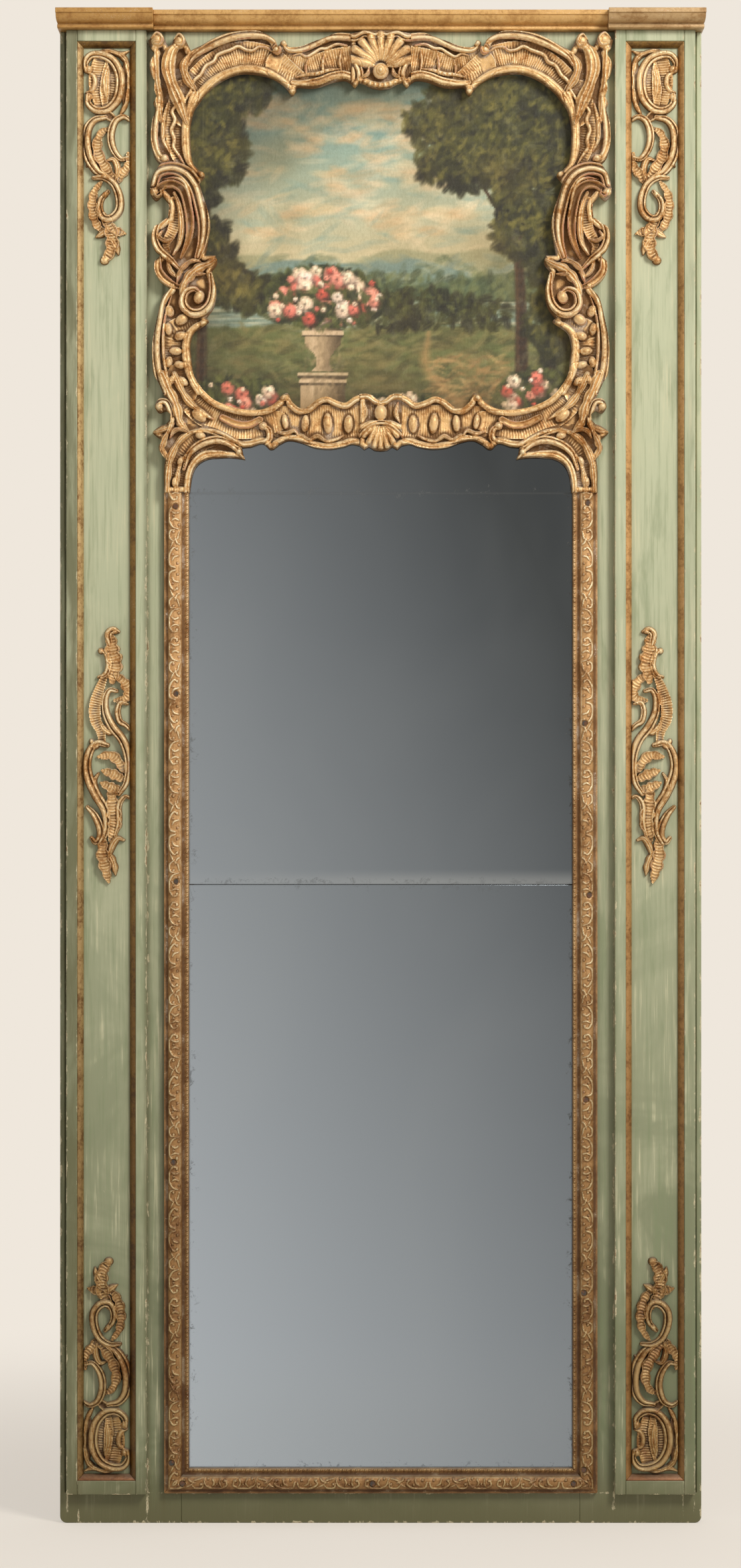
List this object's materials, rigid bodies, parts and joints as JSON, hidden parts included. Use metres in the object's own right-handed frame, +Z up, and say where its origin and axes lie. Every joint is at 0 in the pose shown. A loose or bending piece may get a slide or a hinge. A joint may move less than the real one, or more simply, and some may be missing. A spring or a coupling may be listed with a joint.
{
  "type": "trumeau mirror",
  "caption": "Tall trumeau: painted panel with a pier glass below, a landscape canvas in a carved gilt cartouche above, ornamented pilasters at the sides and a cornice on top.",
  "frame": {"origin": "middle of the width, at the foot of the back face, where the base and the wall plane meet", "axes": "+Z up, front towards -Y, left side as seen from the front at -X"},
  "size_m": [0.942, 0.075, 2.2],
  "materials": {
    "painted_wood": "matt, worn paint over wood",
    "gilding": "worn gilding on carved wood",
    "mirror_plate": "old silvering, foxed",
    "bare_wood": "unfinished, aged",
    "canvas_paint": "oil paint on canvas, varnished",
    "iron": "dark, rusted"
  },
  "bodies": {
    "root": {"battens": "bare_wood", "bottom_rail": "painted_wood", "canvas": "canvas_paint", "crest_shell": "gilding", "foot_shell": "gilding", "hanging_irons": "iron", "left_cartouche_foot": "gilding", "left_cartouche_side": "gilding", "left_cartouche_top": "gilding", "left_cornice": "gilding", "left_gilt_bottom": "gilding", "left_gilt_inner": "gilding", "left_gilt_outer": "gilding", "left_gilt_top": "gilding", "left_lower_ornament": "gilding", "left_middle_ornament": "gilding", "left_mirror_corner": "gilding", "left_pilaster_field": "painted_wood", "left_pilaster_foot": "painted_wood", "left_pilaster_head": "painted_wood", "left_pilaster_inner_stile": "painted_wood", "left_pilaster_outer_stile": "painted_wood", "left_stile": "painted_wood", "left_upper_ornament": "gilding", "lower_back_board": "bare_wood", "lower_glass": "mirror_plate", "middle_back_board": "bare_wood", "middle_cornice": "gilding", "middle_rail": "painted_wood", "mirror_moulding_bottom": "gilding", "mirror_moulding_left": "gilding", "mirror_moulding_right": "gilding", "right_cartouche_foot": "gilding", "right_cartouche_side": "gilding", "right_cartouche_top": "gilding", "right_cornice": "gilding", "right_gilt_bottom": "gilding", "right_gilt_inner": "gilding", "right_gilt_outer": "gilding", "right_gilt_top": "gilding", "right_lower_ornament": "gilding", "right_middle_ornament": "gilding", "right_mirror_corner": "gilding", "right_pilaster_field": "painted_wood", "right_pilaster_foot": "painted_wood", "right_pilaster_head": "painted_wood", "right_pilaster_inner_stile": "painted_wood", "right_pilaster_outer_stile": "painted_wood", "right_stile": "painted_wood", "right_upper_ornament": "gilding", "stretcher_blocks": "bare_wood", "stretcher_bottom": "bare_wood", "stretcher_cross_bar": "bare_wood", "stretcher_left": "bare_wood", "stretcher_right": "bare_wood", "stretcher_top": "bare_wood", "top_rail": "painted_wood", "upper_back_board": "bare_wood", "upper_glass": "mirror_plate"}
  },
  "joints": []
}
